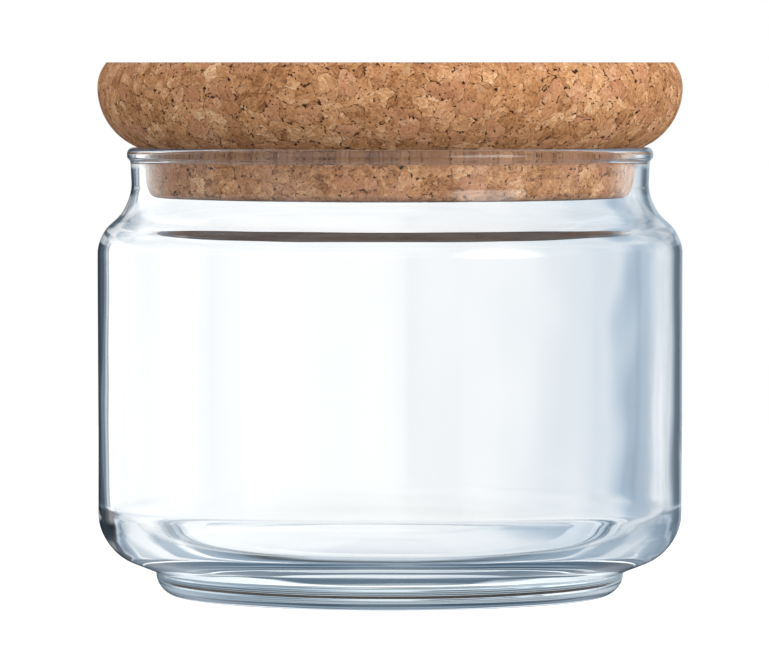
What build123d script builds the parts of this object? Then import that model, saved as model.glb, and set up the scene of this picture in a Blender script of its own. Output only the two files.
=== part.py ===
import os

from build123d import *

# Squat round storage jar of clear glass with a push-in cork lid.
# Millimetres, +Z up, origin on the table plane at the centre of the standing ring.

# Jar outside: the body is the widest, and the heel, foot and neck are set in from it
body_diameter = 103.0
jar_height = 79.0
heel_taper = 0.1
heel_height = 8.3
heel_round = 8.9
foot_inset = 10.25
foot_height = 4.3
foot_round = 4.2
foot_notch_round = 1.9
neck_inset = 6.15
neck_root_drop = 10.1
neck_root_round = 8.1
shoulder_fall = 5.5
shoulder_round = 6.7

# Rim bead round the mouth
bead_height = 2.5
bead_lip = 0.6
bead_under_slope = 0.7
neck_flare = 0.4
rim_outer_round = 1.2
rim_inner_round = 0.5
bead_under_round = 0.6

# Jar inside
neck_wall = 1.75
shoulder_wall = 2.0
shoulder_skin = 2.1
heel_wall = 2.55
floor_height = 8.5
inner_heel_round = 8.0
inner_shoulder_round = 4.2
inner_neck_round = 9.5

# Hollow under the base
standing_ring_width = 4.0
hollow_rise = 1.8
hollow_edge_round = 1.5

# Cork lid: as wide as the body of the jar
lid_thickness = 14.9
lid_belly_height = 10.5
lid_top_inset = 1.6
lid_top_round = 0.6
seat_overlap = 0.45
plug_depth = 9.3
plug_clearance = 0.3
plug_taper = 0.9
plug_edge_round = 1.9
plug_root_round = 0.25

os.makedirs("parts", exist_ok=True)

body_radius = body_diameter / 2
heel_radius = body_radius - heel_taper
foot_radius = body_radius - foot_inset
neck_radius = body_radius - neck_inset
mouth_radius = neck_radius - neck_wall
bead_radius = neck_radius + neck_flare + bead_lip
bead_base = jar_height - bead_height
neck_root_height = jar_height - neck_root_drop
shoulder_height = neck_root_height - shoulder_fall

# The slope of the shoulder runs from the neck root down to the body wall.
# Its inner face is parallel, one skin thickness further in.
slope_length = (neck_inset**2 + shoulder_fall**2) ** 0.5
skin_drop = shoulder_skin * slope_length / neck_inset
slope_grade = shoulder_fall / neck_inset

inner_body_radius = body_radius - shoulder_wall
inner_heel_radius = heel_radius - heel_wall
inner_shoulder_height = shoulder_height + slope_grade * shoulder_wall - skin_drop
inner_neck_height = shoulder_height + slope_grade * (body_radius - mouth_radius) - skin_drop

# Standing ring, flat on the table, between the rounded foot and the hollow
ring_inner_radius = foot_radius - foot_round - standing_ring_width

# The wall in section: up the outside, over the rim and down the inside to the middle of the floor.
# Each corner but the two ends has its own round.
wall_corners = [
    ((foot_radius, 0), foot_round),
    ((foot_radius, foot_height), foot_notch_round),
    ((heel_radius, heel_height), heel_round),
    ((body_radius, shoulder_height), shoulder_round),
    ((neck_radius, neck_root_height), neck_root_round),
    ((neck_radius + neck_flare, bead_base), bead_under_round),
    ((bead_radius, bead_base + bead_under_slope), bead_under_round),
    ((bead_radius, jar_height), rim_outer_round),
    ((mouth_radius, jar_height), rim_inner_round),
    ((mouth_radius, inner_neck_height), inner_neck_round),
    ((inner_body_radius, inner_shoulder_height), inner_shoulder_round),
    ((inner_heel_radius, floor_height), inner_heel_round),
]
ring_inner_edge = (ring_inner_radius, 0)
floor_middle = (0, floor_height)
hollow_middle = (0, hollow_rise)

with BuildPart() as glass_jar:
    with BuildSketch(Plane.XZ) as jar_section:
        with BuildLine():
            FilletPolyline(
                ring_inner_edge,
                *[corner for corner, _ in wall_corners],
                floor_middle,
                radius=[corner_round for _, corner_round in wall_corners],
            )
            Line(floor_middle, hollow_middle)
            TangentArc(hollow_middle, ring_inner_edge, tangent=(1, 0))
        make_face()
        hollow_edge = jar_section.vertices().sort_by_distance((*ring_inner_edge, 0))[0]
        fillet(hollow_edge, radius=hollow_edge_round)
    revolve(axis=Axis.Z)

# The lid sits on the rim with its flat underside, and the plug below it fills the mouth.
lid_radius = body_radius
lid_top = jar_height + lid_thickness
belly_point = (lid_radius, jar_height + lid_belly_height)
top_edge = (lid_radius - lid_top_inset, lid_top)
seat_edge = (mouth_radius + rim_inner_round + seat_overlap, jar_height)
plug_root = (mouth_radius - plug_clearance, jar_height)
plug_foot = (mouth_radius - plug_clearance - plug_taper, jar_height - plug_depth)

with BuildPart() as cork_lid:
    with BuildSketch(Plane.XZ) as lid_section:
        with BuildLine():
            Line((0, lid_top), top_edge)
            TangentArc(belly_point, top_edge, tangent=(0, 1))
            TangentArc(belly_point, seat_edge, tangent=(0, -1))
            Polyline(seat_edge, plug_root, plug_foot, (0, jar_height - plug_depth), (0, lid_top))
        make_face()
        for corner, corner_round in (
            (top_edge, lid_top_round),
            (plug_root, plug_root_round),
            (plug_foot, plug_edge_round),
        ):
            fillet(lid_section.vertices().sort_by_distance((*corner, 0))[0], radius=corner_round)
    revolve(axis=Axis.Z)

for name, piece in (("glass_jar", glass_jar), ("cork_lid", cork_lid)):
    piece.part.label = name
    export_step(piece.part, f"parts/{name}.step")
    print(name, "volume", round(piece.part.volume / 1000, 1), "cm3")
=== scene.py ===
import math

import bpy
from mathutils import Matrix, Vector


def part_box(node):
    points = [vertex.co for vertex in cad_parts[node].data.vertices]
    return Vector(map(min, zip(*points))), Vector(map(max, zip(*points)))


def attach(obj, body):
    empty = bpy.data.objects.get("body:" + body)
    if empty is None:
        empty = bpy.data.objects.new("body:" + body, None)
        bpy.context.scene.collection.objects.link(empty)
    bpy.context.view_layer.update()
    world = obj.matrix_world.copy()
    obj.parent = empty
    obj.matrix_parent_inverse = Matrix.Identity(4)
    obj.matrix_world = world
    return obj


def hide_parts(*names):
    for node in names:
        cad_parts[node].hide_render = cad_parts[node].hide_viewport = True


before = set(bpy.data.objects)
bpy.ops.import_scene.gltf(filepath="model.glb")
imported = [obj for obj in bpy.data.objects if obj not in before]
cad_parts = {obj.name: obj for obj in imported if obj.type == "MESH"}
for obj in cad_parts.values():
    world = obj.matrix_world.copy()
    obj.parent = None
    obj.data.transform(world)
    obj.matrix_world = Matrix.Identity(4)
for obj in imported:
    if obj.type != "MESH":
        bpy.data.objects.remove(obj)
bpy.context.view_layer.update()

mm = 0.001
# points nearer than samePoint are the same one, and mergeGap joins a turned mesh where it meets itself
samePoint = 1e-6
mergeGap = 1e-7
fewestFacets = 5
print("frame loaded, pieces:", ", ".join(sorted(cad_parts)))

_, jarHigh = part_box("glass_jar")
lidLow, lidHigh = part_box("cork_lid")
bodyRadius = jarHigh.x
rimHeight = jarHigh.z
lidRadius = lidHigh.x
lidTop = lidHigh.z
plugFoot = lidLow.z


# Outlines, drawn point by point and then turned round the jar's axis

def deselectAll():
    if bpy.context.mode != "OBJECT":
        bpy.ops.object.mode_set(mode="OBJECT")
    bpy.ops.object.select_all(action="DESELECT")


def drawOutline(name, corners):
    deselectAll()
    bpy.ops.mesh.primitive_plane_add(size=mm, location=(0, 0, 0))
    piece = bpy.context.object
    piece.name = name
    piece.data.name = name
    bpy.ops.object.mode_set(mode="EDIT")
    bpy.ops.mesh.select_mode(type="VERT")
    bpy.ops.mesh.merge(type="CENTER")
    bpy.ops.transform.translate(value=(corners[0][0], 0, corners[0][1]))
    for here, there in zip(corners, corners[1:]):
        step = (there[0] - here[0], 0, there[1] - here[1])
        bpy.ops.mesh.extrude_region_move(TRANSFORM_OT_translate={"value": step})
    bpy.ops.object.mode_set(mode="OBJECT")
    return piece


def selectPoints(piece, wanted):
    bpy.ops.object.mode_set(mode="EDIT")
    bpy.ops.mesh.select_mode(type="VERT")
    bpy.ops.mesh.select_all(action="DESELECT")
    bpy.ops.object.mode_set(mode="OBJECT")
    for vertex in piece.data.vertices:
        vertex.select = bool(wanted(vertex.co))
    bpy.ops.object.mode_set(mode="EDIT")


def roundCorner(piece, before, corner, after, radius, facetSize):
    here = Vector((corner[0], 0, corner[1]))
    arms = [Vector((end[0], 0, end[1])) - here for end in (before, after)]
    gape = arms[0].angle(arms[1])
    facets = max(fewestFacets, round(radius * (math.pi - gape) / facetSize))
    selectPoints(piece, lambda place: (place - here).length < samePoint)
    bpy.ops.mesh.bevel(
        offset_type="OFFSET",
        offset=radius / math.tan(gape / 2),
        segments=facets,
        affect="VERTICES",
    )
    bpy.ops.object.mode_set(mode="OBJECT")


def roundOutline(piece, corners, rounds, facetSize):
    for at, radius in rounds.items():
        roundCorner(piece, corners[at - 1], corners[at], corners[at + 1], radius, facetSize)


def cutLongRuns(piece, longestAt):
    # straight runs get more points, so that glass can waver and cork can be pitted
    ends = [[piece.data.vertices[i].co.copy() for i in edge.vertices] for edge in piece.data.edges]
    runs = {}
    for a, b in ends:
        cuts = math.ceil((a - b).length / longestAt((a + b) / 2)) - 1
        if cuts > 0:
            runs.setdefault(cuts, []).append((a + b) / 2)
    for cuts, middles in runs.items():
        bpy.ops.object.mode_set(mode="EDIT")
        bpy.ops.mesh.select_mode(type="EDGE")
        bpy.ops.mesh.select_all(action="DESELECT")
        bpy.ops.object.mode_set(mode="OBJECT")
        for edge in piece.data.edges:
            a, b = (piece.data.vertices[i].co for i in edge.vertices)
            edge.select = any(((a + b) / 2 - middle).length < samePoint for middle in middles)
        bpy.ops.object.mode_set(mode="EDIT")
        bpy.ops.mesh.subdivide(number_cuts=cuts)
    bpy.ops.object.mode_set(mode="OBJECT")


def applyModifier(piece, modifier):
    deselectAll()
    piece.select_set(True)
    bpy.context.view_layer.objects.active = piece
    bpy.ops.object.modifier_apply(modifier=modifier.name)


def turnOutline(piece, steps):
    turn = piece.modifiers.new("turn", "SCREW")
    turn.steps = steps
    turn.render_steps = steps
    turn.use_merge_vertices = True
    turn.merge_threshold = mergeGap
    applyModifier(piece, turn)
    bpy.ops.object.mode_set(mode="EDIT")
    bpy.ops.mesh.select_all(action="SELECT")
    bpy.ops.mesh.remove_doubles(threshold=mergeGap)
    bpy.ops.mesh.normals_make_consistent(inside=False)
    bpy.ops.object.mode_set(mode="OBJECT")
    bpy.ops.object.shade_smooth()


# Node helpers

def newMaterial(name):
    material = bpy.data.materials.new(name)
    material.use_nodes = True
    material.node_tree.nodes.clear()
    return material, material.node_tree


def addNode(tree, kind, **settings):
    node = tree.nodes.new(kind)
    for key, value in settings.items():
        setattr(node, key, value)
    return node


def feed(tree, socket, value):
    if isinstance(value, bpy.types.NodeSocket):
        tree.links.new(value, socket)
    else:
        socket.default_value = value


def grey(level):
    return (level, level, level, 1)


def calc(tree, operation, *values):
    node = addNode(tree, "ShaderNodeMath", operation=operation)
    for socket, value in zip(node.inputs, values):
        feed(tree, socket, value)
    return node.outputs[0]


def mixColors(tree, factor, first, second, blend="MIX"):
    node = addNode(tree, "ShaderNodeMix", data_type="RGBA", blend_type=blend)
    for at, value in ((0, factor), (6, first), (7, second)):
        feed(tree, node.inputs[at], value)
    return node.outputs[2]


def remap(tree, value, low, high, toLow=0.0, toHigh=1.0, smooth=True):
    node = addNode(tree, "ShaderNodeMapRange", interpolation_type="SMOOTHSTEP" if smooth else "LINEAR")
    for socket, part in zip(node.inputs, (value, low, high, toLow, toHigh)):
        feed(tree, socket, part)
    return node.outputs[0]


def vectorCalc(tree, operation, *values):
    node = addNode(tree, "ShaderNodeVectorMath", operation=operation)
    for socket, value in zip(node.inputs, values):
        feed(tree, socket, value)
    return node


def shiftedPlace(tree, place, shift):
    # a shift reads another part of a pattern, so that two patterns of one kind don't match
    if not shift:
        return place
    return vectorCalc(tree, "ADD", place, (shift, shift, shift)).outputs[0]


def noiseAt(tree, place, size, detail=2.0, rough=0.5, shift=0.0):
    node = addNode(tree, "ShaderNodeTexNoise")
    feed(tree, node.inputs["Vector"], shiftedPlace(tree, place, shift))
    node.inputs["Scale"].default_value = 1 / size
    node.inputs["Detail"].default_value = detail
    node.inputs["Roughness"].default_value = rough
    return node


def cellsAt(tree, place, size, feature="F1", shift=0.0):
    node = addNode(tree, "ShaderNodeTexVoronoi", feature=feature)
    feed(tree, node.inputs["Vector"], shiftedPlace(tree, place, shift))
    node.inputs["Scale"].default_value = 1 / size
    return node


# Camera: level with the lid's top edge, far back, with a long lens

view = {
    "distance": 1.2766,
    "height": lidTop - 0.2 * mm,
    "side": -0.97 * mm,
    "lens": 339.2,
    "dip": math.radians(2.146),
    "sensor": 36,
    "farClip": 50,
}

bpy.ops.object.camera_add(
    location=(view["side"], -view["distance"], view["height"]),
    rotation=(math.pi / 2 - view["dip"], 0, 0),
)
camera = bpy.context.object
camera.name = "photoCamera"
camera.data.lens = view["lens"]
camera.data.sensor_width = view["sensor"]
camera.data.clip_end = view["farClip"]
bpy.context.scene.camera = camera
bpy.context.scene.view_settings.view_transform = "Standard"
print("camera placed")


# Studio: pale floor, white surround with dark cards beside it, soft lamps

studio = {
    "floorRadius": 0.6,
    "floorSides": 96,
    # what the table throws up at the jar is darker than what the camera sees of it
    "floorLevel": 0.85,
    "floorBounce": 0.35,
    "floorLift": 0.5,
    "softLight": 0.45,
    # the levels in the rows below are kept as shares of this strength
    "surroundMost": 2.5,
    # to the sides and behind the camera the cards are fainter
    "fadeRange": (math.radians(46), math.radians(62)),
    "fadeMost": 0.6,
    "fadeTone": (0.2, 0.2, 0.2),
    # looking down, the glass shows the table, with soft streaks round the jar
    "tableRange": (0.08, 0.16),
    "streakSize": 0.13,
    "streakPull": 3.0,
    "streakReach": 0.07,
    "streakDetail": 3,
    "streakRoughness": 0.6,
    # straight behind the jar, what the base catches is paler
    "lensRange": (math.radians(1.5), math.radians(5)),
    "lensMix": 0.15,
    "lensTone": (0.62, 0.7, 0.78),
    # what leaves the rounded heel goes off to the sides
    "asideRange": (math.radians(11), math.radians(17)),
    # through the whole jar, only steep rays show the table
    "farRange": (0.3, 0.45),
    # trapped rays that look up have tones of their own
    "liftedRange": (0.0, 0.05),
    # the right side of the table is greyer
    "rightRange": (0.05, 0.4),
    "rightMix": 0.6,
    "rightTone": (0.28, 0.38, 0.48),
    # a soft box to the right of the camera and a little above it shows only in the mirrored light
    "boxWay": (0.69, -0.7, 0.24),
    "boxRange": (0.93, 0.98),
    "boxFoot": (0.02, 0.14),
    "boxStrength": 4.0,
}

# Levels of the white surround and its dark cards by the angle from straight behind the jar, in degrees.
# Each row runs over a quarter turn, 45 degrees to either side, so that the jar looks alike from every side.
surround = {
    # seen through the whole jar
    "through": [
        (-45, (1.15, 1.15, 1.15)),
        (-24, (1.2, 1.2, 1.2)),
        (-9, (1.25, 1.25, 1.25)),
        (-5, (1.16, 1.16, 1.16)),
        (0, (1.07, 1.07, 1.07)),
        (1.1, (1.0, 1.0, 1.01)),
        (2.1, (0.92, 0.95, 0.97)),
        (3.6, (0.78, 0.84, 0.9)),
        (5.1, (0.82, 0.88, 0.94)),
        (5.8, (0.66, 0.75, 0.85)),
        (6.9, (0.34, 0.47, 0.61)),
        (8.2, (0.25, 0.38, 0.52)),
        (10.1, (0.22, 0.33, 0.45)),
        (11.6, (0.42, 0.5, 0.6)),
        (18, (0.65, 0.73, 0.82)),
        (24, (0.8, 0.86, 0.92)),
        (30, (1.1, 1.1, 1.1)),
    ],
    # seen inside the thickness of one wall
    "within": [
        (-45, (1.5, 1.5, 1.52)),
        (-31, (1.8, 1.82, 1.85)),
        (-29, (1.3, 1.32, 1.35)),
        (-28, (0.42, 0.47, 0.53)),
        (-26.5, (0.42, 0.47, 0.53)),
        (-25, (0.9, 1.0, 1.1)),
        (-23, (0.75, 0.85, 0.95)),
        (-21, (0.25, 0.33, 0.39)),
        (-16.7, (0.33, 0.42, 0.52)),
        (-14, (0.08, 0.1, 0.14)),
        (-7, (0.1, 0.12, 0.16)),
        (-3, (1.1, 1.12, 1.15)),
        (4, (1.1, 1.12, 1.15)),
        (10, (0.45, 0.55, 0.63)),
        (16, (0.14, 0.2, 0.26)),
        (23, (0.18, 0.26, 0.33)),
        (28, (0.5, 0.6, 0.7)),
        (32, (0.85, 0.93, 1.0)),
        (38, (1.05, 1.08, 1.12)),
    ],
    # mirrored in the outside
    "mirrored": [
        (-45, (1.1, 1.1, 1.1)),
        (-35, (1.2, 1.2, 1.2)),
        (-31, (0.4, 0.42, 0.45)),
        (-26, (0.12, 0.14, 0.17)),
        (-20, (0.1, 0.12, 0.16)),
        (-17, (0.03, 0.035, 0.05)),
        (-7, (0.03, 0.035, 0.05)),
        (-5, (0.5, 0.5, 0.5)),
        (5, (0.5, 0.5, 0.5)),
        (8, (0.5, 0.6, 0.7)),
        (15, (0.45, 0.55, 0.65)),
        (20, (0.1, 0.13, 0.17)),
        (28, (0.14, 0.17, 0.2)),
        (33, (0.45, 0.5, 0.55)),
        (38, (0.7, 0.75, 0.8)),
    ],
    # caught inside one wall for many bounces
    "trapped": [
        (-45, (0.06, 0.075, 0.1)),
        (45, (0.06, 0.075, 0.1)),
    ],
}

# The same kinds of light where the ray looks down at the table, by how steep the ray is.
# Trapped light has two more sets, for rays that look up and for rays that leave the heel aside.
steepTones = {
    "through": [
        (0.3, (0.9, 0.93, 0.97)),
        (0.4, (1.1, 1.1, 1.1)),
        (0.5, (0.8, 0.85, 0.9)),
        (0.9, (1.0, 1.0, 1.0)),
    ],
    "within": [
        (0.08, (0.15, 0.2, 0.26)),
        (0.13, (1.2, 1.2, 1.22)),
        (0.23, (1.2, 1.2, 1.22)),
        (0.28, (0.3, 0.4, 0.5)),
        (0.36, (0.5, 0.58, 0.66)),
        (0.42, (1.0, 1.03, 1.06)),
        (0.51, (1.0, 1.03, 1.06)),
        (0.55, (0.35, 0.44, 0.53)),
        (0.64, (0.42, 0.52, 0.62)),
        (0.675, (1.4, 1.4, 1.42)),
        (0.7, (0.35, 0.44, 0.53)),
        (0.8, (0.17, 0.25, 0.33)),
        (0.84, (0.03, 0.04, 0.05)),
        (0.89, (0.16, 0.2, 0.24)),
        (0.93, (0.6, 0.68, 0.76)),
    ],
    "mirrored": [
        (0.1, (0.04, 0.05, 0.07)),
        (0.2, (0.08, 0.1, 0.13)),
        (0.32, (0.35, 0.4, 0.46)),
        (0.5, (0.9, 0.93, 0.97)),
        (0.9, (0.5, 0.55, 0.6)),
    ],
    "trapped": [
        (0.1, (0.04, 0.06, 0.08)),
        (0.25, (0.1, 0.16, 0.22)),
        (0.29, (0.05, 0.08, 0.11)),
        (0.34, (0.05, 0.08, 0.11)),
        (0.375, (0.3, 0.4, 0.5)),
        (0.4, (0.3, 0.4, 0.5)),
        (0.43, (0.07, 0.12, 0.18)),
        (0.545, (0.1, 0.16, 0.23)),
        (0.565, (1.7, 1.7, 1.72)),
        (0.65, (1.7, 1.7, 1.72)),
        (0.668, (0.06, 0.11, 0.16)),
        (0.73, (0.1, 0.16, 0.23)),
        (0.77, (0.8, 0.86, 0.92)),
        (0.82, (0.9, 0.95, 1.0)),
        (0.86, (0.3, 0.38, 0.46)),
    ],
    "lifted": [
        (0.1, (0.7, 0.76, 0.82)),
        (0.38, (1.0, 1.02, 1.05)),
        (0.44, (0.2, 0.27, 0.34)),
        (0.55, (0.2, 0.27, 0.34)),
        (0.59, (1.0, 1.02, 1.05)),
        (0.75, (1.1, 1.1, 1.12)),
        (0.8, (0.6, 0.66, 0.72)),
    ],
    "heel": [
        (0.1, (0.04, 0.06, 0.08)),
        (0.3, (0.14, 0.2, 0.26)),
        (0.42, (0.08, 0.11, 0.15)),
        (0.6, (0.01, 0.015, 0.02)),
        (0.67, (0.01, 0.015, 0.02)),
        (0.685, (0.05, 0.07, 0.1)),
        (0.7, (0.7, 0.78, 0.86)),
        (0.715, (0.25, 0.32, 0.4)),
        (0.73, (0.4, 0.5, 0.6)),
        (0.75, (0.95, 0.98, 1.0)),
        (0.85, (0.95, 0.98, 1.0)),
        (0.9, (0.2, 0.27, 0.34)),
    ],
}


glassLook = {
    "ior": 1.5,
    # light that has passed more faces than this comes through the whole jar
    "throughFaces": 2.5,
    # light that has bounced or been mirrored more often than this is trapped in the wall
    "mostBounces": 6.5,
    "mostMirrors": 2.5,
    "tint": (0.99, 0.997, 1.0, 1),
    "shadowTint": (0.98, 0.98, 0.98, 1),
    "depthTint": (0.45, 0.62, 0.7, 1),
    "depthDensity": 8.0,
}


def buildFloor():
    deselectAll()
    bpy.ops.mesh.primitive_circle_add(
        vertices=studio["floorSides"],
        radius=studio["floorRadius"],
        fill_type="NGON",
    )
    floor = bpy.context.object
    floor.name = "tableTop"
    bpy.ops.object.mode_set(mode="EDIT")
    bpy.ops.mesh.inset(thickness=studio["floorRadius"] / 2)
    bpy.ops.object.mode_set(mode="OBJECT")
    material, tree = newMaterial("paleTable")
    path = addNode(tree, "ShaderNodeLightPath")
    plain = addNode(tree, "ShaderNodeBsdfDiffuse")
    levels = [grey(studio[key]) for key in ("floorLevel", "floorBounce")]
    feed(tree, plain.inputs["Color"], mixColors(tree, path.outputs["Is Diffuse Ray"], *levels))
    glow = addNode(tree, "ShaderNodeEmission")
    lift = calc(tree, "MULTIPLY", path.outputs["Is Camera Ray"], studio["floorLift"])
    feed(tree, glow.inputs["Strength"], lift)
    both = addNode(tree, "ShaderNodeAddShader")
    feed(tree, both.inputs[0], plain.outputs[0])
    feed(tree, both.inputs[1], glow.outputs[0])
    # the table lets through what the glass has bent, so that the glass shows the surround
    bentRay = calc(tree, "MAXIMUM", path.outputs["Is Transmission Ray"], path.outputs["Is Glossy Ray"])
    clear = addNode(tree, "ShaderNodeBsdfTransparent")
    top = addNode(tree, "ShaderNodeMixShader")
    feed(tree, top.inputs[0], bentRay)
    feed(tree, top.inputs[1], both.outputs[0])
    feed(tree, top.inputs[2], clear.outputs[0])
    out = addNode(tree, "ShaderNodeOutputMaterial")
    feed(tree, out.inputs["Surface"], top.outputs[0])
    floor.data.materials.append(material)


def streakedHeight(tree, parts):
    # how steeply a ray looks up or down, moved a little by streaks that are long round the jar
    flat = addNode(tree, "ShaderNodeCombineXYZ")
    feed(tree, flat.inputs["X"], parts.outputs["X"])
    feed(tree, flat.inputs["Y"], parts.outputs["Y"])
    feed(tree, flat.inputs["Z"], calc(tree, "MULTIPLY", parts.outputs["Z"], studio["streakPull"]))
    streaks = noiseAt(
        tree,
        flat.outputs[0],
        studio["streakSize"],
        detail=studio["streakDetail"],
        rough=studio["streakRoughness"],
    )
    sway = calc(tree, "SUBTRACT", streaks.outputs["Fac"], 0.5)
    sway = calc(tree, "MULTIPLY", sway, studio["streakReach"])
    return calc(tree, "ADD", calc(tree, "ABSOLUTE", parts.outputs["Z"]), sway)


def levelColor(tone):
    # levels in the rows go above one, and a ramp's colour may not
    return (*[part / studio["surroundMost"] for part in tone], 1)


def toneRamp(tree, value, stops):
    ramp = addNode(tree, "ShaderNodeValToRGB")
    feed(tree, ramp.inputs[0], value)
    elements = ramp.color_ramp.elements
    for at, (place, tone) in enumerate(stops):
        stop = elements[at] if at < 2 else elements.new(place)
        stop.position = place
        stop.color = levelColor(tone)
    return ramp.outputs[0]


def plainLight(tree, strength):
    light = addNode(tree, "ShaderNodeBackground")
    feed(tree, light.inputs["Color"], (1, 1, 1, 1))
    feed(tree, light.inputs["Strength"], strength)
    return light


def surroundLight(tree, kind, rays, steep):
    # half a row is added so that straight behind falls in its middle, and four rows to stay above zero
    share = calc(tree, "DIVIDE", rays["angle"], math.pi / 2)
    share = calc(tree, "FRACT", calc(tree, "ADD", share, 4.5))
    color = toneRamp(tree, share, [((degrees + 45) / 90, tone) for degrees, tone in surround[kind]])
    aside = calc(tree, "ABSOLUTE", rays["angle"])
    if kind != "through":
        fade = remap(tree, aside, *studio["fadeRange"], 0.0, studio["fadeMost"])
        color = mixColors(tree, fade, color, levelColor(studio["fadeTone"]))
    sloping = toneRamp(tree, rays["height"], steepTones[kind])
    if kind == "trapped":
        heel = remap(tree, aside, *studio["asideRange"])
        lens = remap(tree, aside, *studio["lensRange"], studio["lensMix"], 0.0)
        sloping = mixColors(tree, heel, sloping, toneRamp(tree, rays["height"], steepTones["heel"]))
        sloping = mixColors(tree, lens, sloping, levelColor(studio["lensTone"]))
        lifted = toneRamp(tree, rays["height"], steepTones["lifted"])
        sloping = mixColors(tree, rays["lifted"], sloping, lifted)
    sloping = mixColors(tree, rays["right"], sloping, levelColor(studio["rightTone"]))
    color = mixColors(tree, steep, color, sloping)
    if kind == "mirrored":
        color = mixColors(tree, 1.0, color, rays["box"], blend="ADD")
    light = addNode(tree, "ShaderNodeBackground")
    feed(tree, light.inputs["Color"], color)
    feed(tree, light.inputs["Strength"], studio["surroundMost"])
    return light


def softBox(tree, way, upward):
    # a round patch of light about boxWay, which stops short of the table
    toward = Vector(studio["boxWay"]).normalized()
    facing = vectorCalc(tree, "DOT_PRODUCT", way, toward).outputs["Value"]
    level = studio["boxStrength"] / studio["surroundMost"]
    patch = remap(tree, facing, *studio["boxRange"], 0.0, level)
    return calc(tree, "MULTIPLY", patch, remap(tree, upward, *studio["boxFoot"]))


def buildSurround():
    world = bpy.data.worlds.new("studioSurround")
    bpy.context.scene.world = world
    world.use_nodes = True
    tree = world.node_tree
    tree.nodes.clear()
    way = addNode(tree, "ShaderNodeTexCoord").outputs["Generated"]
    parts = addNode(tree, "ShaderNodeSeparateXYZ")
    feed(tree, parts.inputs[0], way)
    upward = parts.outputs["Z"]
    rise = calc(tree, "ABSOLUTE", upward)
    rays = {
        "angle": calc(tree, "ARCTAN2", parts.outputs["X"], parts.outputs["Y"]),
        "height": streakedHeight(tree, parts),
        "right": remap(tree, parts.outputs["X"], *studio["rightRange"], 0.0, studio["rightMix"]),
        "lifted": remap(tree, upward, *studio["liftedRange"]),
        "box": softBox(tree, way, upward),
    }
    # glass turns rays upside down, so all but the mirrored ones count the same looking up and down
    below = remap(tree, calc(tree, "MULTIPLY", upward, -1.0), *studio["tableRange"])
    leaning = remap(tree, rise, *studio["tableRange"])
    far = remap(tree, rise, *studio["farRange"])
    path = addNode(tree, "ShaderNodeLightPath")
    bent = path.outputs["Is Transmission Ray"]
    crossed = calc(tree, "GREATER_THAN", path.outputs["Transmission Depth"], glassLook["throughFaces"])
    trapped = calc(tree, "GREATER_THAN", path.outputs["Glossy Depth"], glassLook["mostMirrors"])
    current = plainLight(tree, studio["softLight"]).outputs[0]
    for switch, light in (
        (path.outputs["Is Glossy Ray"], surroundLight(tree, "mirrored", rays, below)),
        (bent, surroundLight(tree, "within", rays, leaning)),
        (calc(tree, "MULTIPLY", bent, crossed), surroundLight(tree, "through", rays, far)),
        (trapped, surroundLight(tree, "trapped", rays, leaning)),
        (path.outputs["Is Camera Ray"], plainLight(tree, 1.0)),
    ):
        mix = addNode(tree, "ShaderNodeMixShader")
        feed(tree, mix.inputs[0], switch)
        feed(tree, mix.inputs[1], current)
        feed(tree, mix.inputs[2], light.outputs[0])
        current = mix.outputs[0]
    out = addNode(tree, "ShaderNodeOutputWorld")
    feed(tree, out.inputs["Surface"], current)


lamps = {
    "key": {"place": (0.85, -0.6, 0.35), "size": 0.9, "power": 12},
    "fill": {"place": (-0.8, -0.6, 0.4), "size": 1.0, "power": 5},
    "top": {"place": (0.0, 0.1, 1.0), "size": 1.0, "power": 3},
}


def buildLamps():
    target = Vector((0, 0, lidTop / 2))
    for name, lamp in lamps.items():
        aim = (target - Vector(lamp["place"])).to_track_quat("-Z", "Y").to_euler()
        bpy.ops.object.light_add(type="AREA", location=lamp["place"], rotation=aim)
        light = bpy.context.object
        light.name = name + "Lamp"
        light.data.shape = "DISK"
        light.data.size = lamp["size"]
        light.data.energy = lamp["power"]
        # the mirrored light has its own soft box
        light.visible_glossy = False
        light.visible_transmission = False


buildFloor()
buildSurround()
buildLamps()
print("studio built")


# Glass jar

jar = {
    "turns": 320,
    "facetSize": 0.45 * mm,
    "longestRun": 1.6 * mm,
    "waverDepth": 0.12 * mm,
    "waverSize": 22 * mm,
    "neckRadius": 45.35 * mm,
    "neckFlare": 0.4 * mm,
    "beadLip": 0.6 * mm,
    "beadHeight": 2.5 * mm,
    "beadSlope": 0.7 * mm,
    "mouthRadius": 43.6 * mm,
    "neckRootHeight": 68.9 * mm,
    "shoulderHeight": 63.4 * mm,
    "heelRadius": 51.4 * mm,
    "heelHeight": 8.3 * mm,
    "footRadius": 41.25 * mm,
    "footHeight": 4.3 * mm,
    "ringInner": 33.05 * mm,
    "hollowRise": 1.8 * mm,
    "floorHeight": 8.5 * mm,
    "innerShoulderHeight": 62.4 * mm,
    "innerNeckHeight": 67.7 * mm,
    "wallTop": 2.0 * mm,
    "wallHeel": 2.55 * mm,
    # how far out the hollow under the base stays level
    "hollowShare": 0.55,
    # rounds of the corners, up the outside and down the inside
    "rounds": {
        "hollow": 60 * mm,
        "ringInner": 1.5 * mm,
        "foot": 4.2 * mm,
        "notch": 1.9 * mm,
        "heel": 8.9 * mm,
        "shoulder": 6.7 * mm,
        "neckRoot": 8.1 * mm,
        "beadUnder": 0.6 * mm,
        "beadSide": 0.6 * mm,
        "rimOuter": 1.2 * mm,
        "rimInner": 0.5 * mm,
        "innerNeck": 9.5 * mm,
        "innerShoulder": 4.2 * mm,
        "innerHeel": 8 * mm,
    },
}


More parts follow.
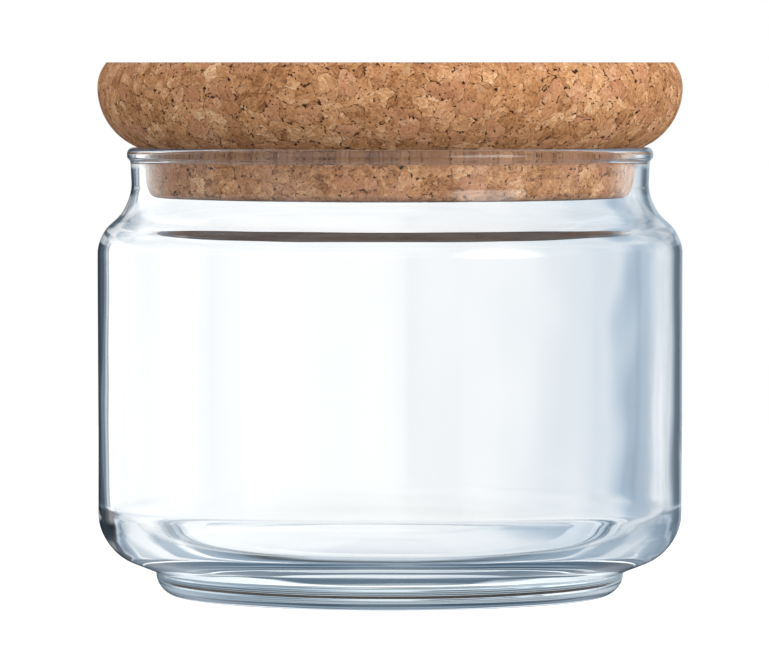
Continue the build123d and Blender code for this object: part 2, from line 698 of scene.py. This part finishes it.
def waverGlass(piece):
    # pressed glass is never quite even, so its faces waver by a few hundredths of a millimetre
    drift = bpy.data.textures.new("glassWaver", "CLOUDS")
    drift.noise_scale = jar["waverSize"]
    drift.noise_depth = 1
    waver = piece.modifiers.new("waver", "DISPLACE")
    waver.texture = drift
    waver.texture_coords = "LOCAL"
    waver.strength = jar["waverDepth"]
    waver.mid_level = 0.5
    applyModifier(piece, waver)


def buildJar():
    beadRadius = jar["neckRadius"] + jar["neckFlare"] + jar["beadLip"]
    beadBase = rimHeight - jar["beadHeight"]
    hollowMiddle = jar["hollowShare"] * jar["ringInner"]
    corners = [
        (0, jar["hollowRise"]),
        (hollowMiddle, jar["hollowRise"]),
        (jar["ringInner"], 0),
        (jar["footRadius"], 0),
        (jar["footRadius"], jar["footHeight"]),
        (jar["heelRadius"], jar["heelHeight"]),
        (bodyRadius, jar["shoulderHeight"]),
        (jar["neckRadius"], jar["neckRootHeight"]),
        (jar["neckRadius"] + jar["neckFlare"], beadBase),
        (beadRadius, beadBase + jar["beadSlope"]),
        (beadRadius, rimHeight),
        (jar["mouthRadius"], rimHeight),
        (jar["mouthRadius"], jar["innerNeckHeight"]),
        (bodyRadius - jar["wallTop"], jar["innerShoulderHeight"]),
        (jar["heelRadius"] - jar["wallHeel"], jar["floorHeight"]),
        (0, jar["floorHeight"]),
    ]
    # the two ends lie on the axis, and each corner between them has a round
    rounds = dict(enumerate(jar["rounds"].values(), start=1))
    piece = drawOutline("jarGlass", corners)
    roundOutline(piece, corners, rounds, jar["facetSize"])
    cutLongRuns(piece, lambda place: jar["longestRun"])
    turnOutline(piece, jar["turns"])
    waverGlass(piece)
    print("jar turned, faces:", len(piece.data.polygons))
    return piece


def glassMaterial():
    material, tree = newMaterial("clearGlass")
    glass = addNode(tree, "ShaderNodeBsdfPrincipled")
    glass.inputs["Base Color"].default_value = glassLook["tint"]
    glass.inputs["Roughness"].default_value = 0.0
    glass.inputs["IOR"].default_value = glassLook["ior"]
    glass.inputs["Transmission Weight"].default_value = 1.0
    clear = addNode(tree, "ShaderNodeBsdfTransparent")
    clear.inputs["Color"].default_value = glassLook["shadowTint"]
    # lamp light passes with a faint tint, and light trapped in the wall goes straight on
    path = addNode(tree, "ShaderNodeLightPath")
    passing = calc(tree, "MAXIMUM", path.outputs["Is Shadow Ray"], path.outputs["Is Diffuse Ray"])
    bounced = calc(tree, "GREATER_THAN", path.outputs["Ray Depth"], glassLook["mostBounces"])
    mirrored = calc(tree, "GREATER_THAN", path.outputs["Glossy Depth"], glassLook["mostMirrors"])
    trapped = calc(tree, "MAXIMUM", bounced, mirrored)
    mix = addNode(tree, "ShaderNodeMixShader")
    feed(tree, mix.inputs[0], calc(tree, "MAXIMUM", passing, trapped))
    feed(tree, mix.inputs[1], glass.outputs[0])
    feed(tree, mix.inputs[2], clear.outputs[0])
    depth = addNode(tree, "ShaderNodeVolumeAbsorption")
    depth.inputs["Color"].default_value = glassLook["depthTint"]
    depth.inputs["Density"].default_value = glassLook["depthDensity"]
    out = addNode(tree, "ShaderNodeOutputMaterial")
    feed(tree, out.inputs["Surface"], mix.outputs[0])
    feed(tree, out.inputs["Volume"], depth.outputs[0])
    return material


jarPiece = buildJar()
jarPiece.data.materials.append(glassMaterial())
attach(jarPiece, "jar")
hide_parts("glass_jar")


# Cork lid

cork = {
    "turns": 600,
    "facetSize": 0.45 * mm,
    "upperFacets": 10,
    "lowerFacets": 32,
    "mouthRadius": 43.6 * mm,
    "plugClearance": 0.3 * mm,
    "plugTaper": 0.9 * mm,
    "plugFootRound": 1.9 * mm,
    "plugTopRound": 0.25 * mm,
    "seatRadius": 44.55 * mm,
    "bellyHeight": 10.5 * mm,
    "topInset": 1.6 * mm,
    # radii at which the rows of faces on the flats get wider, and how long each row may be inside them
    "rowRings": [12 * mm, 28 * mm, 41 * mm],
    "rowLengths": [2.2 * mm, 1.3 * mm, 0.75 * mm, 0.5 * mm],
    "pitDepth": 0.28 * mm,
    "seamDepth": 0.05 * mm,
    "streakDepth": 0.06 * mm,
    "streakLevel": 0.6,
}


def arcTo(start, end, count):
    # points of an arc that leaves its start straight up or down
    run = start[0] - end[0]
    rise = end[1] - start[1]
    radius = (run**2 + rise**2) / (2 * run)
    sweep = math.asin(abs(rise) / radius)
    side = 1 if rise > 0 else -1
    turns = [sweep * step / count for step in range(1, count + 1)]
    return [
        (start[0] - radius * (1 - math.cos(turn)), start[1] + side * radius * math.sin(turn))
        for turn in turns
    ]


def rowLength(place):
    inside = [at for at, ring in enumerate(cork["rowRings"]) if place.x < ring]
    return cork["rowLengths"][inside[0] if inside else -1]


def buildLid():
    rings = cork["rowRings"]
    belly = (lidRadius, rimHeight + cork["bellyHeight"])
    topEdge = (lidRadius - cork["topInset"], lidTop)
    seatEdge = (cork["seatRadius"], rimHeight)
    plugTop = (cork["mouthRadius"] - cork["plugClearance"], rimHeight)
    plugEnd = (plugTop[0] - cork["plugTaper"], plugFoot)
    lower = arcTo(belly, seatEdge, cork["lowerFacets"])
    upper = arcTo(belly, topEdge, cork["upperFacets"])
    under = [(0, plugFoot), *[(ring, plugFoot) for ring in rings[:2]]]
    over = [*[(ring, lidTop) for ring in reversed(rings)], (0, lidTop)]
    corners = [*under, plugEnd, plugTop, *reversed(lower), belly, *upper, *over]
    atEnd = len(under)
    rounds = {atEnd: cork["plugFootRound"], atEnd + 1: cork["plugTopRound"]}
    piece = drawOutline("lidCork", corners)
    roundOutline(piece, corners, rounds, cork["facetSize"])
    cutLongRuns(piece, rowLength)
    turnOutline(piece, cork["turns"])
    print("lid turned, faces:", len(piece.data.polygons))
    return piece


corkLook = {
    "granule": 3.2 * mm,
    "chip": 1.3 * mm,
    "bend": 0.55 * mm,
    "bendSize": 1.6 * mm,
    "fray": 0.16 * mm,
    "fraySize": 0.35 * mm,
    # chips and streaks are drawn out along their granule by these shares
    "chipStretch": 0.45,
    "streakStretch": 0.82,
    "streakWidth": 0.36 * mm,
    # pits open along the seams where a noise of this size passes this range; reaches are in cells
    "pitSize": 0.9 * mm,
    "pitOpening": (0.56, 0.7),
    "pitReach": 0.11,
    "pitEdge": 0.02,
    "chipPitSize": 0.55 * mm,
    "chipPitOpening": (0.6, 0.76),
    "chipPitReach": 0.18,
    "chipPitEdge": 0.05,
    "speck": 0.62 * mm,
    "speckRange": (0.78, 1.0),
    "speckReach": 0.26,
    "speckEdge": 0.06,
    # seams show only where a noise of this size passes this range
    "seamSize": 0.7 * mm,
    "seamShow": (0.49, 0.6),
    "seamEdge": (0.008, 0.045),
    "chipSeamSize": 0.5 * mm,
    "chipSeamShow": (0.54, 0.66),
    "chipSeamEdge": (0.01, 0.09),
    "chipSeamShare": 0.8,
    "hairWidth": 0.42 * mm,
    "hairEdge": (0.004, 0.03),
    "hairRun": 1.1 * mm,
    "hairShow": (0.48, 0.62),
    "mottleSize": 0.5 * mm,
    "driftSize": 12 * mm,
    # the tone is a sum of parts with these weights, which comes to about the middle
    "granuleWeight": 0.28,
    "chipWeight": 0.24,
    "mottleWeight": 0.45,
    "streakWeight": 0.8,
    "driftWeight": 0.35,
    # the contrast is raised about the middle, and the middle lands at this level of the tones
    "middle": 1.04,
    "contrast": 1.62,
    "middleLevel": 0.47,
    "tones": [
        (0.0, (0.19, 0.073, 0.027)),
        (0.2, (0.32, 0.137, 0.052)),
        (0.4, (0.43, 0.203, 0.086)),
        (0.6, (0.51, 0.252, 0.112)),
        (0.8, (0.62, 0.34, 0.17)),
        (1.0, (0.76, 0.5, 0.3)),
    ],
    "pitTone": (0.055, 0.019, 0.009, 1),
    "seamTone": (0.17, 0.07, 0.03, 1),
    "seamShare": 0.85,
    "hairTone": (0.2, 0.088, 0.038, 1),
    "hairShare": 0.6,
    "paleHairTone": (0.72, 0.5, 0.31, 1),
    "paleHairShare": 0.35,
    "pinkTone": (0.47, 0.21, 0.12, 1),
    "pinkRange": (0.6, 0.85),
    "pinkShare": 0.45,
    "strawTone": (0.68, 0.46, 0.28, 1),
    "strawRange": (0.9, 0.95),
    "strawShare": 0.2,
    # painted shade under the plug, mixed into the colour
    "undersideShadeTone": (0.17, 0.155, 0.145, 1),
    "undersideShadeReach": (0.1 * mm, 0.5 * mm),
    "undersideShadeShare": 0.75,
    # painted shade behind the rim bead, mixed into the colour
    "seatShadeTone": (0.14, 0.065, 0.035, 1),
    "seatShadeReach": (1.2 * mm, 3.4 * mm),
    "seatShadeShare": 0.5,
    "roughRange": (0.2, 0.8),
    "roughness": (0.7, 0.95),
    "specular": 0.25,
    # relief too fine for the mesh
    "bumpStrength": 0.7,
    "bumpDepth": 0.2 * mm,
    "mottleBump": 0.5,
    "streakBump": 0.4,
    "seamBump": 0.5,
}


def bentPlace(tree, place, amount, size, shift=0.0):
    wander = noiseAt(tree, place, size, detail=1.5, shift=shift)
    centred = vectorCalc(tree, "SUBTRACT", wander.outputs["Color"], (0.5, 0.5, 0.5)).outputs[0]
    scaled = vectorCalc(tree, "MULTIPLY", centred, (2 * amount, 2 * amount, 2 * amount)).outputs[0]
    return vectorCalc(tree, "ADD", place, scaled).outputs[0]


def stretchedPlace(tree, place, heading, share):
    # squeezes the place along the heading, so that a pattern read there comes out long that way
    along = vectorCalc(tree, "DOT_PRODUCT", place, heading).outputs["Value"]
    pull = vectorCalc(tree, "SCALE", heading)
    feed(tree, pull.inputs["Scale"], calc(tree, "MULTIPLY", along, share))
    return vectorCalc(tree, "SUBTRACT", place, pull.outputs[0]).outputs[0]


def randomPart(tree, color, weights):
    # one random number from the three that a cell carries
    return calc(tree, "FRACT", vectorCalc(tree, "DOT_PRODUCT", color, weights).outputs["Value"])


def shownNoise(tree, place, size, shown, **settings):
    # 0 to 1 where a noise passes through the range shown
    return remap(tree, noiseAt(tree, place, size, **settings).outputs["Fac"], *shown)


def pitsAt(tree, opening, opens, reach, distance, edge):
    # an opening widens as its noise passes through a range, and pits whatever is nearer than its width
    width = remap(tree, opening, *opens, 0.0, reach, smooth=False)
    return remap(tree, calc(tree, "SUBTRACT", width, distance), 0.0, edge)


def hairLines(tree, streaked, frayed, shift):
    # thin scratchy lines along the streaks, which come and go
    ridge = noiseAt(tree, streaked, corkLook["hairWidth"], detail=2, rough=0.6, shift=shift).outputs["Fac"]
    ridge = calc(tree, "ABSOLUTE", calc(tree, "SUBTRACT", ridge, 0.5))
    line = remap(tree, ridge, *corkLook["hairEdge"], 1.0, 0.0)
    show = shownNoise(tree, frayed, corkLook["hairRun"], corkLook["hairShow"], detail=2, shift=shift + 2.3)
    return calc(tree, "MULTIPLY", line, show)


def corkField(tree, place):
    # the same pattern of granules, chips, seams and pits serves the colour and the relief
    bent = bentPlace(tree, place, corkLook["bend"], corkLook["bendSize"])
    frayed = bentPlace(tree, bent, corkLook["fray"], corkLook["fraySize"], shift=3.1)
    granules = cellsAt(tree, frayed, corkLook["granule"])
    granuleEdge = cellsAt(tree, frayed, corkLook["granule"], feature="DISTANCE_TO_EDGE").outputs["Distance"]
    heading = vectorCalc(tree, "SUBTRACT", granules.outputs["Color"], (0.5, 0.5, 0.5)).outputs[0]
    heading = vectorCalc(tree, "NORMALIZE", heading).outputs[0]
    grained = stretchedPlace(tree, frayed, heading, corkLook["chipStretch"])
    chips = cellsAt(tree, grained, corkLook["chip"], shift=1.7)
    chipCells = cellsAt(tree, grained, corkLook["chip"], feature="DISTANCE_TO_EDGE", shift=1.7)
    chipEdge = chipCells.outputs["Distance"]
    # fine streaks, which run another way in each granule
    streaked = stretchedPlace(tree, frayed, heading, corkLook["streakStretch"])
    streaks = noiseAt(tree, streaked, corkLook["streakWidth"], detail=2.5, rough=0.6, shift=6.1)
    # pits lie on the seams, where they open, and a few small ones lie anywhere
    opening = noiseAt(tree, bent, corkLook["pitSize"], detail=2, rough=0.65, shift=5.9).outputs["Fac"]
    pits = pitsAt(
        tree,
        opening,
        corkLook["pitOpening"],
        corkLook["pitReach"],
        granuleEdge,
        corkLook["pitEdge"],
    )
    chipOpening = noiseAt(tree, bent, corkLook["chipPitSize"], detail=1.5, shift=9.2).outputs["Fac"]
    chipPits = pitsAt(
        tree,
        chipOpening,
        corkLook["chipPitOpening"],
        corkLook["chipPitReach"],
        chipEdge,
        corkLook["chipPitEdge"],
    )
    speck = cellsAt(tree, frayed, corkLook["speck"], shift=4.4)
    chance = randomPart(tree, speck.outputs["Color"], (1, 0, 0))
    specks = pitsAt(
        tree,
        chance,
        corkLook["speckRange"],
        corkLook["speckReach"],
        speck.outputs["Distance"],
        corkLook["speckEdge"],
    )
    allPits = calc(tree, "MAXIMUM", calc(tree, "MAXIMUM", pits, chipPits), specks)
    seamShow = shownNoise(
        tree, bent, corkLook["seamSize"], corkLook["seamShow"], detail=3, rough=0.6, shift=2.2
    )
    seam = calc(tree, "MULTIPLY", remap(tree, granuleEdge, *corkLook["seamEdge"], 1.0, 0.0), seamShow)
    chipShow = shownNoise(
        tree, bent, corkLook["chipSeamSize"], corkLook["chipSeamShow"], detail=3, rough=0.6, shift=8.8
    )
    chipSeam = calc(tree, "MULTIPLY", remap(tree, chipEdge, *corkLook["chipSeamEdge"], 1.0, 0.0), chipShow)
    chipSeam = calc(tree, "MULTIPLY", chipSeam, corkLook["chipSeamShare"])
    return {
        "granule": granules.outputs["Color"],
        "chip": chips.outputs["Color"],
        "streaks": streaks.outputs["Fac"],
        "pits": allPits,
        "seams": calc(tree, "MAXIMUM", seam, chipSeam),
        "hairs": hairLines(tree, streaked, frayed, 11.3),
        "paleHairs": hairLines(tree, streaked, frayed, 15.8),
        "bent": bent,
    }


def pitCork(piece):
    # sinks the pits, seams and streaks of the pattern into the mesh
    tree = bpy.data.node_groups.new("corkRelief", "GeometryNodeTree")
    tree.interface.new_socket("Geometry", in_out="INPUT", socket_type="NodeSocketGeometry")
    tree.interface.new_socket("Geometry", in_out="OUTPUT", socket_type="NodeSocketGeometry")
    enter = addNode(tree, "NodeGroupInput")
    leave = addNode(tree, "NodeGroupOutput")
    field = corkField(tree, addNode(tree, "GeometryNodeInputPosition").outputs[0])
    rise = calc(tree, "SUBTRACT", field["streaks"], cork["streakLevel"])
    rise = calc(tree, "MULTIPLY", rise, cork["streakDepth"])
    rise = calc(tree, "SUBTRACT", rise, calc(tree, "MULTIPLY", field["seams"], cork["seamDepth"]))
    rise = calc(tree, "SUBTRACT", rise, calc(tree, "MULTIPLY", field["pits"], cork["pitDepth"]))
    shift = vectorCalc(tree, "SCALE", addNode(tree, "GeometryNodeInputNormal").outputs[0])
    feed(tree, shift.inputs["Scale"], rise)
    move = addNode(tree, "GeometryNodeSetPosition")
    feed(tree, move.inputs["Geometry"], enter.outputs[0])
    feed(tree, move.inputs["Offset"], shift.outputs[0])
    feed(tree, leave.inputs[0], move.outputs[0])
    relief = piece.modifiers.new("relief", "NODES")
    relief.node_group = tree
    applyModifier(piece, relief)
    print("cork pitted")


def corkMaterial():
    material, tree = newMaterial("pressedCork")
    place = addNode(tree, "ShaderNodeTexCoord").outputs["Object"]
    field = corkField(tree, place)
    granuleTone = randomPart(tree, field["granule"], (1, 0, 0))
    chipTone = randomPart(tree, field["chip"], (0, 1, 0))
    mottle = noiseAt(tree, field["bent"], corkLook["mottleSize"], detail=4, rough=0.7, shift=1.3)
    mottle = mottle.outputs["Fac"]
    drift = noiseAt(tree, place, corkLook["driftSize"], detail=3, shift=0.6).outputs["Fac"]
    tone = calc(tree, "MULTIPLY", granuleTone, corkLook["granuleWeight"])
    for part, key in (
        (chipTone, "chipWeight"),
        (mottle, "mottleWeight"),
        (field["streaks"], "streakWeight"),
        (drift, "driftWeight"),
    ):
        tone = calc(tree, "ADD", tone, calc(tree, "MULTIPLY", part, corkLook[key]))
    offset = corkLook["middleLevel"] - corkLook["middle"] * corkLook["contrast"]
    tone = calc(tree, "MULTIPLY_ADD", tone, corkLook["contrast"], offset)
    ramp = addNode(tree, "ShaderNodeValToRGB")
    feed(tree, ramp.inputs[0], tone)
    stops = ramp.color_ramp.elements
    for at, (share, color) in enumerate(corkLook["tones"]):
        stop = stops[at] if at < 2 else stops.new(share)
        stop.position = share
        stop.color = (*color, 1)
    color = ramp.outputs[0]
    # some granules lean to pink, and a few chips are pale straw
    pink = randomPart(tree, field["granule"], (0, 0, 1))
    pink = remap(tree, pink, *corkLook["pinkRange"], 0.0, corkLook["pinkShare"])
    color = mixColors(tree, pink, color, corkLook["pinkTone"])
    straw = randomPart(tree, field["chip"], (0, 0, 1))
    straw = remap(tree, straw, *corkLook["strawRange"], 0.0, corkLook["strawShare"])
    color = mixColors(tree, straw, color, corkLook["strawTone"])
    for part, kind in (("paleHairs", "paleHair"), ("hairs", "hair"), ("seams", "seam")):
        share = calc(tree, "MULTIPLY", field[part], corkLook[kind + "Share"])
        color = mixColors(tree, share, color, corkLook[kind + "Tone"])
    color = mixColors(tree, field["pits"], color, corkLook["pitTone"])
    # painted shade: the flat underside of the plug gets a dull dark grey in its colour, standing in for the
    # shade under it
    parts = addNode(tree, "ShaderNodeSeparateXYZ")
    feed(tree, parts.inputs[0], place)
    shadeFoot, shadeTop = (plugFoot + reach for reach in corkLook["undersideShadeReach"])
    under = remap(tree, parts.outputs["Z"], shadeFoot, shadeTop, corkLook["undersideShadeShare"], 0.0)
    color = mixColors(tree, under, color, corkLook["undersideShadeTone"])
    # painted shade: the cork's colour darkens just below the rim, where little light gets in behind the
    # bead
    seatDepth = calc(tree, "SUBTRACT", rimHeight, parts.outputs["Z"])
    paintedSeatShade = remap(tree, seatDepth, *corkLook["seatShadeReach"], corkLook["seatShadeShare"], 0.0)
    paintedSeatShade = calc(tree, "MULTIPLY", paintedSeatShade, calc(tree, "GREATER_THAN", seatDepth, 0.0))
    color = mixColors(tree, paintedSeatShade, color, corkLook["seatShadeTone"])
    bark = addNode(tree, "ShaderNodeBsdfPrincipled")
    feed(tree, bark.inputs["Base Color"], color)
    roughness = remap(tree, mottle, *corkLook["roughRange"], *corkLook["roughness"], smooth=False)
    feed(tree, bark.inputs["Roughness"], roughness)
    bark.inputs["Specular IOR Level"].default_value = corkLook["specular"]
    height = calc(tree, "MULTIPLY", mottle, corkLook["mottleBump"])
    height = calc(tree, "ADD", height, calc(tree, "MULTIPLY", field["streaks"], corkLook["streakBump"]))
    height = calc(tree, "SUBTRACT", height, calc(tree, "MULTIPLY", field["seams"], corkLook["seamBump"]))
    height = calc(tree, "SUBTRACT", height, field["pits"])
    bump = addNode(tree, "ShaderNodeBump")
    bump.inputs["Strength"].default_value = corkLook["bumpStrength"]
    bump.inputs["Distance"].default_value = corkLook["bumpDepth"]
    feed(tree, bump.inputs["Height"], height)
    feed(tree, bark.inputs["Normal"], bump.outputs[0])
    out = addNode(tree, "ShaderNodeOutputMaterial")
    feed(tree, out.inputs["Surface"], bark.outputs[0])
    return material


lidPiece = buildLid()
pitCork(lidPiece)
lidPiece.data.materials.append(corkMaterial())
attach(lidPiece, "lid")
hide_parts("cork_lid")
